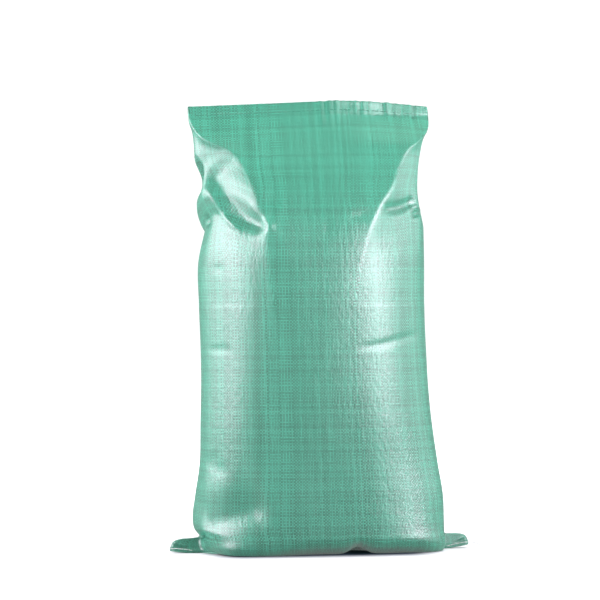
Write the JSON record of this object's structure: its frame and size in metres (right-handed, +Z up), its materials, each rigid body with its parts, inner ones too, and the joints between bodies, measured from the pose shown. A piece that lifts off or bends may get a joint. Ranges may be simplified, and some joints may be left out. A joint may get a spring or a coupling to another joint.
{
  "type": "filled woven polypropylene sack",
  "caption": "Upright cement sack of green woven polypropylene tape, filled, with a flat hemmed mouth, folded-in sides and sewn ears at the bottom corners.",
  "frame": {"origin": "on the floor under the middle of the standing sack, at the bottom centre of its box", "axes": "+Z up, from the sewn bottom to the mouth; +X along the bottom seam, from ear to ear; -Y out of the front"},
  "size_m": [0.5986, 0.2678, 0.8219],
  "materials": {
    "green_woven_cloth": "glossy laminated polypropylene tape weave, sea green",
    "white_thread": "matt white sewing thread",
    "green_thread": "matt green sewing thread"
  },
  "bodies": {
    "root": {"sack": "green_woven_cloth", "bottom_seam_thread": "white_thread", "front_hem_thread": "green_thread", "back_hem_thread": "green_thread"}
  },
  "joints": []
}
